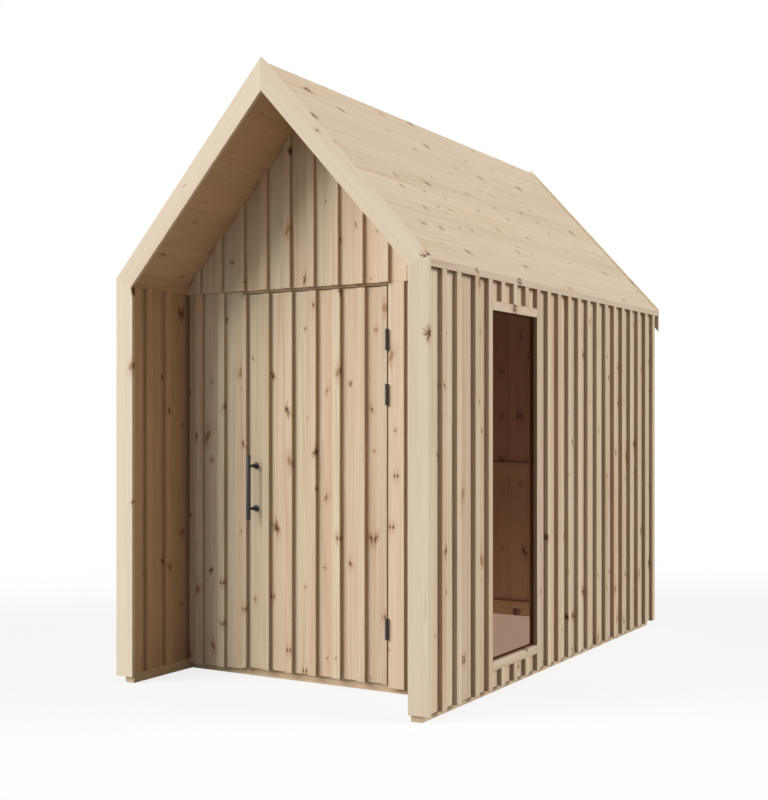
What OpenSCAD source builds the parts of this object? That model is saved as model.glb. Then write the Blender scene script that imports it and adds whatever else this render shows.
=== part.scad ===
// Garden shed of knotty softwood: a steep gabled box with an open porch, a
// boarded door in the porch and one tall fixed window in its right side.
// Origin: middle of the footprint, on the ground. Front faces -Y, +Z is up.

/* [Overall] */
// Width over the front facing boards
shed_w = 1710; // [1500:10:2100]
// Length from the face of the front facing to the back of the rear barge boards
shed_l = 3008; // [2500:10:3700]
// Height of the outer corner where the facing turns from post to rafter
eave_h = 1943; // [1600:1:2400]
// Slope of the roof, in degrees
roof_pitch = 47.8; // [35:0.1:55]
// Height of the lowest edge of facing and cladding above the ground
foot_h = 30; // [10:1:40]

/* [Facing boards] */
// Width of the front facing boards
facing_w = 101; // [92:1:125]
// Thickness of the facing and barge boards
facing_t = 19; // [15:1:28]
// How far the facing stands above the roof boards, square to the slope
facing_proud = 10; // [0:1:15]
// Width of the rear barge boards
barge_w = 92; // [90:1:125]

/* [Walls] */
// Height of the sills that lie on the ground
sill_h = 45; // [30:1:70]
// Thickness of the wall frames and of the sills
frame_t = 56; // [45:1:95]
// Thickness of the upright cladding boards
board_t = 19; // [15:1:25]
// Thickness of the battens over the board joints
batten_t = 20; // [15:1:25]
// Width of the battens
batten_w = 43; // [35:1:60]
// Distance from one batten to the next
batten_pitch = 136; // [110:1:170]
// Distance from the side of the facing to the battens of the side walls
clad_inset = 3; // [3:1:12]

/* [Porch] */
// Depth of the porch, from the front facing to the battens of the door
porch_depth = 413; // [300:1:600]
// How far the gable cladding stands out in front of the door
gable_step = 18; // [5:1:30]
// How far the gable cladding hangs below the ceiling line of the side walls
gable_drop = 26; // [20:1:60]
// Height of the head strip that shows between door and gable
head_show = 10; // [5:1:20]

/* [Roof] */
// Thickness of the roof boards
deck_t = 20; // [16:1:28]
// Thickness of the roof frame and its ceiling boards
roof_frame_t = 58; // [45:1:90]
// Distance from the side of the facing to the edge of the roof boards
eave_inset = 2; // [0:1:5]
// Distance from the rear cladding to the end of the roof
rear_overhang = 76; // [40:1:200]
// Seating gap under the sloping faces, square to the slope
slope_seat = 0.2; // [0.1:0.1:0.5]

/* [Door] */
// Width of the opening that the door fills in the front cladding
door_opening_w = 840; // [700:10:1010]
// Gap round the door
door_gap = 7; // [6:0.5:10]
// Gap between the back of the door and the frame that it closes on
rest_gap = 5; // [5:0.5:8]
// How far the frame reaches behind each edge of the door opening
stop_w = 25; // [18:1:40]
// Height of the door's bottom edge above the ground
door_bottom = 42; // [36:1:60]
// Width of the ledges across the back of the door
ledge_w = 95; // [70:1:120]
// Thickness of the ledges
ledge_t = 20; // [15:1:25]

/* [Handle] */
// Length of the pull bar
handle_l = 316; // [200:1:400]
// Diameter of the pull bar
handle_d = 20; // [14:1:24]
// Diameter of the posts that hold the bar
handle_post_d = 15; // [8:1:16]
// Distance between the two posts
handle_post_gap = 208; // [150:1:300]
// Distance from the boards of the door to the middle of the bar
handle_reach = 64; // [50:1:80]
// Height of the middle of the bar above the ground
handle_h = 932; // [800:1:1100]

/* [Hinges] */
// Length of each hinge
hinge_l = 98; // [75:1:130]
// Diameter of the hinge barrels
barrel_d = 16; // [12:1:18]
// Diameter of the hinge pins
pin_d = 6; // [5:0.5:8]
// Thickness of the hinge plates
plate_t = 2; // [1.5:0.5:2.5]
// Drop from the top of the door to the middle of the top hinge
top_hinge_drop = 247; // [150:1:300]
// Distance from the top hinge down to the second hinge
second_hinge_drop = 253; // [200:1:500]
// Height of the bottom hinge above the bottom of the door
bottom_hinge_rise = 259; // [150:1:300]

/* [Window] */
// Distance from the face of the front facing to the window opening
window_from_front = 620; // [600:1:900]
// Width of the window opening
window_w = 504; // [400:1:700]
// Height of the bottom of the window opening above the ground
window_sill_h = 156; // [100:1:400]
// Distance from the eave corner down to the top of the window opening
window_head_drop = 180; // [120:1:400]
// Thickness of the glass
glass_t = 6; // [4:1:10]
// Width of the slim wooden frame that holds the glass from inside
glazing_w = 6; // [4:1:25]
// Distance that the wall frame stands back from the window at its front, top and bottom
frame_back = 45; // [5:5:50]
// Distance that the stud at the rear of the window stands back from it
stud_back = 135; // [45:5:200]

/* [Hidden] */

pale_wood = "#dcc8a8";
warm_wood = "#cfb48f";
dark_wood = "#a58a68";
black_metal = "#22252a";
bronze_glass = [0.32, 0.22, 0.16, 0.6];

// Levels measured from the front are turned into Y by this function
function from_front(depth) = depth - shed_l / 2;
// Height of a surface that lies a given depth below the facing's outer edge
function roof_z(x, depth) = eave_h + tan(roof_pitch) * (shed_w / 2 - abs(x)) - depth / cos(roof_pitch);

// Layers of the side walls, outwards from the middle
clad_t = board_t + batten_t;
clad_out = shed_w / 2 - clad_inset;
frame_out = clad_out - clad_t;
frame_in = frame_out - frame_t;

// Layers of the roof, square to the slope
deck_under = facing_proud + deck_t;
ceiling_depth = deck_under + roof_frame_t;

// Places along the shed
facing_back = from_front(facing_t);
gable_face = from_front(porch_depth - gable_step);
gable_back = gable_face + clad_t;
door_face = from_front(porch_depth);
door_board_face = door_face + batten_t;
door_back = door_face + clad_t;
front_frame_y = door_back + rest_gap;
front_frame_back = front_frame_y + frame_t;
rear_end = shed_l / 2;
barge_front = rear_end - facing_t;
rear_clad_out = rear_end - rear_overhang;
rear_clad_in = rear_clad_out - clad_t;
rear_frame_in = rear_clad_in - frame_t;

// Heights
ceiling_h = roof_z(frame_in, ceiling_depth + slope_seat);
gable_bottom = ceiling_h - gable_drop;
head_strip_bottom = gable_bottom - head_show;
door_top = head_strip_bottom - door_gap;
header_bottom = door_top - stop_w / 2;
window_top = eave_h - window_head_drop;

// Door leaf and its doorway
door_half = door_opening_w / 2 - door_gap;
doorway_half = door_opening_w / 2 - stop_w;
ledge_clear = 10;

// Hinge pins stand in front of the gap at the door's right edge
pin_x = door_opening_w / 2 - 3;
pin_y = door_face - barrel_d / 2;
pin_running_gap = 0.05;
knuckle_gap = 1;
plate_reach = 40;
hinge_heights = [door_top - top_hinge_drop,
                 door_top - top_hinge_drop - second_hinge_drop,
                 door_bottom + bottom_hinge_rise];

// The handle stands on the outermost whole board of the door
bay_half = (batten_pitch - batten_w) / 2;
handle_bay = floor((door_half - bay_half) / batten_pitch - 0.5);
handle_x = -(handle_bay + 0.5) * batten_pitch;
rose_d = 24;
rose_t = 4;

// Window opening in the right wall, and the wider opening of the frame behind it
window_y0 = from_front(window_from_front);
window_y1 = window_y0 + window_w;
frame_y0 = window_y0 - frame_back;
frame_y1 = window_y1 + stud_back;
glass_out = clad_out - batten_t;
glass_in = glass_out - glass_t;
glazing_t = board_t - glass_t;

$fn = 48;

// Block between two opposite corners
module block(x0, x1, y0, y1, z0, z1) {
    translate([x0, y0, z0])
        cube([x1 - x0, y1 - y0, z1 - z0]);
}

// An outline in the X-Z plane, carried along Y from y0 to y1
module along_y(y0, y1, outline) {
    translate([0, y1, 0])
        rotate([90, 0, 0])
            linear_extrude(height = y1 - y0)
                polygon(outline);
}

// The same piece on the left (-1) or on the right (1)
module on_side(side) {
    mirror([side < 0 ? 1 : 0, 0, 0])
        children();
}

// Upright layer of a side wall between two X values, seated under a layer of the roof
module wall_layer(x0, x1, y0, y1, z0, depth) {
    top = depth + slope_seat;
    along_y(y0, y1, [[x0, z0], [x1, z0], [x1, roof_z(x1, top)], [x0, roof_z(x0, top)]]);
}

// Sloping layer of the roof, from its eave edge to the ridge
module roof_layer(eave_x, y0, y1, depth0, depth1) {
    along_y(y0, y1, [[eave_x, roof_z(eave_x, depth0)], [0, roof_z(0, depth0)],
                     [0, roof_z(0, depth1)], [eave_x, roof_z(eave_x, depth1)]]);
}

// Five-sided wall, seated under a layer of the roof
module gabled_layer(half, y0, y1, z0, depth) {
    top = depth + slope_seat;
    along_y(y0, y1, [[-half, z0], [half, z0], [half, roof_z(half, top)],
                     [0, roof_z(0, top)], [-half, roof_z(half, top)]]);
}

// Sills, flat on the ground
module side_sill(side) {
    color(dark_wood)
        on_side(side)
            block(frame_in, frame_out, facing_back, rear_clad_in, 0, sill_h);
}

module cross_sill(y0) {
    color(dark_wood)
        block(-frame_in, frame_in, y0, y0 + frame_t, 0, sill_h);
}

// Front facing: two posts and two rafters of flat board, mitred together
module facing_post(side) {
    inner = shed_w / 2 - facing_w;
    color(pale_wood)
        on_side(side)
            along_y(from_front(0), facing_back,
                    [[inner, foot_h], [shed_w / 2, foot_h], [shed_w / 2, eave_h], [inner, roof_z(inner, facing_w)]]);
}

module facing_rafter(side) {
    inner = shed_w / 2 - facing_w;
    color(pale_wood)
        on_side(side)
            along_y(from_front(0), facing_back,
                    [[shed_w / 2, eave_h], [0, roof_z(0, 0)], [0, roof_z(0, facing_w)], [inner, roof_z(inner, facing_w)]]);
}

// Rear barge boards, cut upright at the eaves
module barge_board(side) {
    color(pale_wood)
        on_side(side)
            roof_layer(shed_w / 2, barge_front, rear_end, 0, barge_w);
}

// Frames of the walls
module left_wall() {
    color(dark_wood)
        on_side(-1)
            wall_layer(frame_in, frame_out, facing_back, rear_clad_in, sill_h, ceiling_depth);
}

module right_wall_front() {
    color(dark_wood)
        wall_layer(frame_in, frame_out, facing_back, frame_y0, sill_h, ceiling_depth);
}

module right_wall_rear() {
    color(dark_wood)
        wall_layer(frame_in, frame_out, frame_y1, rear_clad_in, sill_h, ceiling_depth);
}

module right_wall_below_window() {
    color(dark_wood)
        block(frame_in, frame_out, frame_y0, frame_y1, sill_h, window_sill_h - frame_back);
}

module right_wall_above_window() {
    color(dark_wood)
        wall_layer(frame_in, frame_out, frame_y0, frame_y1, window_top + frame_back, ceiling_depth);
}

module rear_wall() {
    color(dark_wood)
        gabled_layer(frame_in, rear_frame_in, rear_clad_in, sill_h, ceiling_depth);
}

module front_wall(side) {
    color(dark_wood)
        on_side(side)
            block(doorway_half, frame_in, front_frame_y, front_frame_back, sill_h, ceiling_h);
}

module door_header() {
    color(dark_wood)
        block(-doorway_half, doorway_half, front_frame_y, front_frame_back, header_bottom, ceiling_h);
}

// Strip that shows between the top of the door and the gable
module head_strip() {
    color(warm_wood)
        block(-frame_in, frame_in, gable_back, front_frame_y, gable_bottom, ceiling_h);
    color(warm_wood)
        block(-door_opening_w / 2, door_opening_w / 2, gable_back, front_frame_y, head_strip_bottom, gable_bottom);
}

module front_gable() {
    color(dark_wood)
        along_y(gable_back, front_frame_back,
                [[-frame_in, ceiling_h], [frame_in, ceiling_h], [0, roof_z(0, ceiling_depth + slope_seat)]]);
}

// Boards and battens on the outside of the walls
module left_cladding() {
    color(warm_wood)
        on_side(-1)
            wall_layer(frame_out, clad_out, facing_back, rear_clad_out, foot_h, deck_under);
}

module right_cladding_front() {
    color(warm_wood)
        wall_layer(frame_out, clad_out, facing_back, window_y0, foot_h, deck_under);
}

module right_cladding_rear() {
    color(warm_wood)
        wall_layer(frame_out, clad_out, window_y1, rear_clad_out, foot_h, deck_under);
}

module right_cladding_below_window() {
    color(warm_wood)
        block(frame_out, clad_out, window_y0, window_y1, foot_h, window_sill_h);
}

module right_cladding_above_window() {
    color(warm_wood)
        wall_layer(frame_out, clad_out, window_y0, window_y1, window_top, deck_under);
}

module rear_cladding() {
    color(warm_wood)
        gabled_layer(frame_out, rear_clad_in, rear_clad_out, foot_h, deck_under);
}

module front_cladding(side) {
    color(warm_wood)
        on_side(side)
            block(door_opening_w / 2, frame_in, door_face, front_frame_y, foot_h, gable_bottom);
}

module gable_cladding() {
    color(warm_wood)
        gabled_layer(frame_in, gable_face, gable_back, gable_bottom, ceiling_depth);
}

// Roof: frame with its ceiling, and the boards on top
module roof_frame(side) {
    color(dark_wood)
        on_side(side)
            roof_layer(frame_out, facing_back, rear_clad_in, deck_under + slope_seat, ceiling_depth);
}

module roof_boards(side) {
    color(pale_wood)
        on_side(side)
            roof_layer(shed_w / 2 - eave_inset, facing_back, barge_front, facing_proud, deck_under);
}

// Fixed window: one sheet of glass against a slim wooden frame
module window_glass() {
    color(bronze_glass)
        block(glass_in, glass_out, window_y0, window_y1, window_sill_h, window_top);
}

module window_glazing_frame() {
    color(dark_wood)
        difference() {
            block(glass_in - glazing_t, glass_in, window_y0, window_y1, window_sill_h, window_top);
            block(glass_in - glazing_t - 1, glass_in + 1, window_y0 + glazing_w, window_y1 - glazing_w,
                  window_sill_h + glazing_w, window_top - glazing_w);
        }
}

// Door: upright boards, battens over their joints, ledges across the back
module door_boards() {
    color(warm_wood)
        block(-door_half, door_half, door_board_face, door_back, door_bottom, door_top);
}

module door_battens() {
    last = ceil(door_half / batten_pitch);
    color(pale_wood)
        for (k = [-last:last]) {
            x0 = max(k * batten_pitch - batten_w / 2, -door_half);
            x1 = min(k * batten_pitch + batten_w / 2, door_half);
            if (x1 - x0 > batten_w / 4)
                block(x0, x1, door_face, door_board_face, door_bottom, door_top);
        }
}

module door_ledges() {
    half = doorway_half - ledge_clear;
    color(dark_wood)
        for (z = [door_bottom + bottom_hinge_rise, (door_bottom + door_top) / 2, door_top - top_hinge_drop])
            block(-half, half, door_back, door_back + ledge_t, z - ledge_w / 2, z + ledge_w / 2);
}

module door_handle() {
    bar_y = door_board_face - handle_reach;
    color(black_metal)
        union() {
            translate([handle_x, bar_y, handle_h - handle_l / 2])
                cylinder(h = handle_l, d = handle_d);
            for (z = [handle_h - handle_post_gap / 2, handle_h + handle_post_gap / 2]) {
                translate([handle_x, door_board_face, z])
                    rotate([90, 0, 0])
                        cylinder(h = handle_reach, d = handle_post_d);
                translate([handle_x, door_board_face, z])
                    rotate([90, 0, 0])
                        cylinder(h = rose_t, d = rose_d);
            }
        }
}

// Hinges: the middle knuckle belongs to the door, the outer two and the pin to the frame
knuckle_l = hinge_l / 3;

module hinge_leaves_door() {
    color(black_metal)
        for (z = hinge_heights)
            difference() {
                union() {
                    translate([pin_x, pin_y, z - knuckle_l / 2])
                        cylinder(h = knuckle_l, d = barrel_d);
                    block(door_half, door_half + plate_t, pin_y, pin_y + plate_reach,
                          z - knuckle_l / 2, z + knuckle_l / 2);
                }
                translate([pin_x, pin_y, z - knuckle_l])
                    cylinder(h = 2 * knuckle_l, d = pin_d + 2 * pin_running_gap);
            }
}

module hinge_leaves_frame() {
    outer_l = knuckle_l - knuckle_gap;
    color(black_metal)
        for (z = hinge_heights)
            union() {
                translate([pin_x, pin_y, z - hinge_l / 2])
                    cylinder(h = hinge_l, d = pin_d);
                for (z0 = [z - hinge_l / 2, z + hinge_l / 2 - outer_l]) {
                    translate([pin_x, pin_y, z0])
                        cylinder(h = outer_l, d = barrel_d);
                    block(door_opening_w / 2 - plate_t, door_opening_w / 2, pin_y, pin_y + plate_reach,
                          z0, z0 + outer_l);
                }
            }
}

side_sill(-1);  // sill_left
side_sill(1);  // sill_right
cross_sill(front_frame_y);  // sill_front
cross_sill(rear_frame_in);  // sill_rear
facing_post(-1);  // facing_post_left
facing_post(1);  // facing_post_right
facing_rafter(-1);  // facing_rafter_left
facing_rafter(1);  // facing_rafter_right
barge_board(-1);  // barge_board_left
barge_board(1);  // barge_board_right
left_wall();
right_wall_front();
right_wall_rear();
right_wall_below_window();
right_wall_above_window();
rear_wall();
front_wall(-1);  // front_wall_left
front_wall(1);  // front_wall_right
door_header();
head_strip();
front_gable();
left_cladding();
right_cladding_front();
right_cladding_rear();
right_cladding_below_window();
right_cladding_above_window();
rear_cladding();
front_cladding(-1);  // front_cladding_left
front_cladding(1);  // front_cladding_right
gable_cladding();
roof_frame(-1);  // roof_frame_left
roof_frame(1);  // roof_frame_right
roof_boards(-1);  // roof_boards_left
roof_boards(1);  // roof_boards_right
window_glass();
window_glazing_frame();
door_boards();
door_battens();
door_ledges();
door_handle();
hinge_leaves_door();
hinge_leaves_frame();
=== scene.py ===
import math

import bpy
import numpy as np
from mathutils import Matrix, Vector


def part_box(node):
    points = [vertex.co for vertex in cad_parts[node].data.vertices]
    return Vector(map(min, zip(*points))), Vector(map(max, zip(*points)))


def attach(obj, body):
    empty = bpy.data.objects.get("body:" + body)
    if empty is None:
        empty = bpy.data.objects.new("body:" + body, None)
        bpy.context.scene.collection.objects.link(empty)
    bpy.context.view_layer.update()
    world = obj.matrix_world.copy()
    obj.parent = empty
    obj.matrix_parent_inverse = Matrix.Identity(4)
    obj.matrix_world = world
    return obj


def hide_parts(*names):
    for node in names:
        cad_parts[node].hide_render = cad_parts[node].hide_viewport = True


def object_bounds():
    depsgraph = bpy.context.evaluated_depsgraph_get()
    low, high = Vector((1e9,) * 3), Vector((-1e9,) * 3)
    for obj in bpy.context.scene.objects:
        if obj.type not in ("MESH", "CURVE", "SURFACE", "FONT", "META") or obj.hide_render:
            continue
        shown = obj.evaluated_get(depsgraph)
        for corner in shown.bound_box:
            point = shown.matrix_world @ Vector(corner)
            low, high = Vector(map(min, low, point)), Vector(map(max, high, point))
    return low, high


bl_info = {
    "name": "Boarded Garden Shed",
    "version": (1, 0, 0),
    "blender": (4, 5, 0),
    "location": "View3D > Sidebar > Shed",
    "description": "Lays the boards, battens, door, window and fittings of a gabled garden shed round its frame",
    "category": "Object",
}

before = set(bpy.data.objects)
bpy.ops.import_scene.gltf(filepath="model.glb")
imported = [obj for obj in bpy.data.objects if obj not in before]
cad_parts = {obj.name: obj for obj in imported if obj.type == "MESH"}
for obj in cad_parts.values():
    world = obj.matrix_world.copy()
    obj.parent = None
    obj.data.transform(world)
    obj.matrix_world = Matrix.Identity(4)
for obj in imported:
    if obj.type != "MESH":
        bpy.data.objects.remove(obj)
CAD_LOW, CAD_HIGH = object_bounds()

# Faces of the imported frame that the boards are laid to, in metres
HALF_WIDTH = CAD_HIGH.x
FRONT = CAD_LOW.y
REAR = CAD_HIGH.y
POST_LOW, POST_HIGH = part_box("facing_post_right")
FACING_INNER, FACING_BACK = POST_LOW.x, POST_HIGH.y
FOOT, EAVE = POST_LOW.z, POST_HIGH.z
BARGE_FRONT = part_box("barge_board_right")[0].y
SLOPE = (CAD_HIGH.z - EAVE) / HALF_WIDTH
PITCH = math.atan(SLOPE)
SINE, COSINE = math.sin(PITCH), math.cos(PITCH)
FRAME_IN, FRAME_OUT = (corner.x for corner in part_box("sill_right"))
CLAD_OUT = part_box("right_cladding_front")[1].x
REAR_FRAME_IN, REAR_CLAD_IN = (corner.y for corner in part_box("rear_wall"))
REAR_CLAD_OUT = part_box("rear_cladding")[1].y
SILL_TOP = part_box("sill_right")[1].z
WINDOW_LOW, WINDOW_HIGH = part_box("window_glass")
FRAMED_FRONT, FRAMED_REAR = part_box("right_wall_front")[1].y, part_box("right_wall_rear")[0].y
FRAMED_LOW, FRAMED_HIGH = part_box("right_wall_below_window")[1].z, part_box("right_wall_above_window")[0].z
HEADER_LOW, HEADER_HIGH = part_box("door_header")
DOORWAY, CEILING = HEADER_HIGH.x, HEADER_HIGH.z
FRONT_FRAME_FACE, FRONT_FRAME_BACK = HEADER_LOW.y, HEADER_HIGH.y
GABLE_FACE, GABLE_BACK = (corner.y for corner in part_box("gable_cladding"))
GABLE_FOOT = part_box("gable_cladding")[0].z
FRONT_CLAD_INNER, FRONT_CLAD_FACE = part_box("front_cladding_right")[0].xy
DOOR_LOW, DOOR_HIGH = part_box("door_boards")
DECK_LOW, DECK_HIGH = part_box("roof_boards_right")

# Timber that the frame's boxes don't give, in metres
LINING_BOARD = 0.141
REAR_LINING_BOARD = 0.135
REAR_LINING_JOINT = 0.034  # a joint of the rear wall's lining, right of the middle
BOTTOM_PLATE = 0.045
PORCH_STUDS = FRONT + np.array([0.112, 0.252])
GABLE_STRUT_SPREAD = 0.4
GABLE_FRAME_INSET = 0.06
LEDGE_WIDTH = 0.095
# Clearances between boards whose faces would otherwise coincide
SEAT = 0.0005  # under a cut that follows the slope
HAIR = 0.0003  # at the ends of boards fitted between others, and behind the cladding
FLUSH = 0.0004  # between frames that stand on each other
TOP_PLATE_DROP = 0.0008
RAFTER_DROP = 0.0002
ROOF_JOINT, CEILING_JOINT = 0.0003, 0.0005
RAFTERS = 7
# Battens of the left wall start this far from the facing's face
LEFT_BATTENS_FROM = 0.12
# Plates shorter than this are left out, and those that end less than this behind the front wall are the porch's
SHORTEST_PLATE = 0.02
ROOM_MARGIN = 0.1
# Nothing is laid in a strip narrower than this beside a corner
NARROWEST = 0.05

SIDES = ((-1, "left"), (1, "right"))
X, Y, Z = np.eye(3)
# Each set of axes is (across the board, through the board, along the board)
UPRIGHT_ON_SIDE = np.array([Y, X, Z])
UPRIGHT_ON_FRONT = np.array([X, Y, Z])
LENGTHWISE = np.array([X, Z, Y])
CROSSWISE = np.array([Y, Z, X])
LENGTHWISE_ON_SIDE = np.array([Z, X, Y])
CROSSWISE_ON_FRONT = np.array([Z, Y, X])
ORIGIN = np.zeros(3)


def flipped(axes, across=1, through=1, along=1):
    """The same axes, reversed where -1 is given."""
    return axes * np.array([[across], [through], [along]])


def srgb(red, green, blue):
    """A colour given as 0 to 255 on screen, as the linear values that Blender keeps."""
    return tuple(
        (c / 255 / 12.92) if c <= 10.3 else ((c / 255 + 0.055) / 1.055) ** 2.4
        for c in (red, green, blue)
    )


def roof_height(x, depth):
    """Height of the face that lies a given depth, square to the slope, under the facing's outer edge."""
    return EAVE + SLOPE * (HALF_WIDTH - np.abs(x)) - depth / COSINE


# Depths of the roof's layers, square to the slope
DECK_TOP = (CAD_HIGH.z - DECK_HIGH.z) * COSINE
DECK_UNDER = (roof_height(DECK_HIGH.x, 0.0) - DECK_LOW.z) * COSINE
CEILING_UNDER = (roof_height(FRAME_OUT, 0.0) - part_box("roof_frame_right")[0].z) * COSINE


# ---------------------------------------------------------------- settings


def length(name, default, least, description):
    """Setting for a size in metres."""
    return bpy.props.FloatProperty(name=name, description=description, default=default, min=least, unit="LENGTH")


def colour(name, default, description):
    """Setting for a colour."""
    return bpy.props.FloatVectorProperty(name=name, description=description, default=default, subtype="COLOR")


def strength(name, default, description, **limits):
    """Setting for the strength of a light."""
    return bpy.props.FloatProperty(name=name, description=description, default=default, min=0.0, **limits)


class ShedSizes(bpy.types.PropertyGroup):
    """Sizes of the boards and battens that are laid on the frame."""

    batten_width: length("Batten width", 0.043, 0.02, "Width of the battens over the board joints")
    batten_depth: length("Batten depth", 0.020, 0.005, "How far the battens stand in front of the boards")
    batten_pitch: length("Batten pitch", 0.136, 0.06, "Distance from one batten to the next")
    first_batten: length("First batten", 0.125, 0.02, "From the facing's face to the right wall's first batten")
    arris: length("Arris", 0.0014, 0.0002, "Rounding of the long edges of boards and battens")
    joint: length("Joint", 0.0012, 0.0, "Open joint between neighbouring boards")
    stud_depth: length("Stud depth", 0.020, 0.005, "How far studs and plates stand in front of the lining inside")
    stud_width: length("Stud width", 0.045, 0.02, "Width of studs, plates and window framing")
    stud_pitch: length("Stud pitch", 0.56, 0.2, "Distance between the studs inside the room")
    top_plate: length("Top plate", 0.024, 0.01, "Height of the plate that shows under the ceiling")
    rail_height: length("Rail height", 0.905, 0.3, "Height of the lower edge of the rail inside the room")
    rail_width: length("Rail width", 0.078, 0.03, "Width of the rail inside the room")
    roof_board: length("Roof board", 0.141, 0.08, "Width of the roof and ceiling boards")
    ceiling_depth: length("Ceiling board", 0.018, 0.008, "Thickness of the ceiling boards")
    jamb_board: length("Jamb board", 0.084, 0.03, "Width of the flat board on the hinge side of the door")
    window_strip: length("Window strip", 0.042, 0.02, "Height of the strips over and under the window")


class ShedFinishes(bpy.types.PropertyGroup):
    """Colours of the timber, the fittings and the glass."""

    facing: colour("Facing", srgb(239, 224, 200), "Clear wood of the facing and barge boards")
    cladding: colour("Cladding", srgb(229, 211, 184), "Clear wood of the boards and battens outside")
    roof: colour("Roof", srgb(226, 207, 181), "Clear wood of the roof boards")
    sill: colour("Sills", srgb(226, 204, 170), "Clear wood of the sills")
    lining: colour("Lining", srgb(221, 192, 158), "Clear wood of frame, lining and ceiling")
    latewood: colour("Latewood", srgb(184, 152, 116), "Darker lines of the growth rings")
    pink: colour("Heartwood", srgb(219, 187, 154), "Warm streaks of heartwood")
    # The knot colour also serves as the painted shade on the narrow sides of cladding and door
    knot: colour("Knot", srgb(82, 54, 32), "Dark heart of the knots")
    resin: colour("Resin", srgb(168, 124, 82), "Orange wood round the knots")
    metal: colour("Fittings", srgb(50, 54, 61), "Powder coat of handle and hinges")
    glazing: colour("Glazing frame", srgb(206, 172, 136), "Clear wood of the slim frame behind the glass")
    glass: colour("Glass", (0.36, 0.24, 0.17), "Bronze tint of the window glass")


class ShedStage(bpy.types.PropertyGroup):
    """Lamps and surroundings."""

    key: strength("Key", 2.60, "Strength of the soft lamp on the left in front")
    far: strength("Far", 2.42, "Strength of the soft lamp on the right behind")
    fill: strength("Fill", 0.60, "Strength of the weak wide lamp in front")
    around: strength("Surroundings", 0.09, "Strength of the even light from all round")
    room: strength("Room", 0.88, "Share of the floor's own soft light inside the room", max=1.0)


# ---------------------------------------------------------------- timber


# Points round a board's cross-section, and cross-sections along it
RING, STATIONS = 14, 4
# How far the pith of a board's log lies beside its middle, for boards cut close to the pith and for the
# others, then how far behind or in front of it, and where along the log the board starts
PITH_CLOSE, PITH_AWAY = 0.045, 0.16
PITH_DEPTHS = 0.02, 0.11
LOG_PLACES = 2, 60


def outline(u0, u1, v0, v1, round_by, crown):
    """Cross-section of each board as 14 points: seven over the far face from the left edge to the
    right, seven back over the near face. Corners are quarter circles of radius round_by in two steps,
    and one point of each face lies at crown, where a top cut may change direction."""
    cut = round_by * (1 - math.sqrt(0.5))
    u = np.stack([u0, u0 + cut, u0 + round_by, crown, u1 - round_by, u1 - cut, u1], 1)
    drop = np.stack([round_by, cut, 0 * cut, 0 * cut, 0 * cut, cut, round_by], 1)
    return np.hstack([u, u[:, ::-1]]), np.hstack([v1[:, None] - drop, v0[:, None] + drop[:, ::-1]])


def boards(
    axes, u0, u1, v0, v1, start, end, seed,
    origin=ORIGIN, arris=0.0014, end_arris=None, lean=0.0, crown=None, flat=0.5,
):
    """Straight boards: the cross-section carried along the third axis through four stations, the first
    and last drawn in by the arris. start and end are distances, or functions of (across, through) for
    slanting cuts. lean moves both long edges sideways in step with the depth, which bevels them, and
    flat is the share of boards cut close to the pith. Returns points, quads, the wood's own coordinates
    and a tone for each board."""
    fixed = [0.0 if callable(cut) else cut for cut in (start, end)]
    spread = np.broadcast_arrays(*np.atleast_1d(u0, u1, v0, v1, *fixed))
    u0, u1, v0, v1, first, last = (a.astype(float).ravel() for a in spread)
    count = len(u0)
    start_at = start if callable(start) else lambda u, v: first[:, None]
    end_at = end if callable(end) else lambda u, v: last[:, None]
    end_arris = arris if end_arris is None else end_arris
    middle = (u0 + u1) / 2
    if crown is not None:
        inside = (u0 + 3 * arris < crown) & (crown < u1 - 3 * arris)
        middle = np.where(inside, crown, middle)
    stations = (
        (end_arris, 0.0, start_at), (0.0, end_arris, start_at),
        (0.0, -end_arris, end_at), (end_arris, 0.0, end_at),
    )
    rings = []
    for draw_in, along_by, place in stations:
        u, v = outline(
            u0 + draw_in, u1 - draw_in, v0 + draw_in, v1 - draw_in, np.full(count, arris), middle
        )
        u = u + lean * v
        rings.append(np.stack([u, v, np.broadcast_to(place(u, v) + along_by, u.shape)], 2))
    local = np.stack(rings, 1)  # board, station, point, (across, through, along)
    points = origin + local.reshape(-1, 3) @ axes
    ring = np.arange(RING)
    after = (ring + 1) % RING
    step = RING * np.arange(STATIONS - 1)[:, None]
    sides = np.stack([step + ring, step + RING + ring, step + RING + after, step + after], 2)
    left = np.arange(RING // 2 - 1)
    cap = np.stack([left, left + 1, RING - 2 - left, RING - 1 - left], 1)
    one = np.vstack([sides.reshape(-1, 4), cap, cap[:, ::-1] + RING * (STATIONS - 1)])
    if np.linalg.det(axes) < 0:
        one = one[:, ::-1]
    quads = (one + RING * STATIONS * np.arange(count)[:, None, None]).reshape(-1, 4)
    # Each board comes from its own place in a log: the pith lies behind or beside its face
    draw = np.random.default_rng(seed)
    beside = draw.uniform(-1, 1, count) * np.where(draw.random(count) < flat, PITH_CLOSE, PITH_AWAY)
    behind = draw.uniform(*PITH_DEPTHS, count) * draw.choice([-1, 1], count)
    shift = [beside - (u0 + u1) / 2, behind - (v0 + v1) / 2, draw.uniform(*LOG_PLACES, count)]
    grain = (local + np.stack(shift, 1)[:, None, None]).reshape(-1, 3)
    tone = np.repeat(draw.random(count), RING * STATIONS)
    return points, quads, grain, tone


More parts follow.
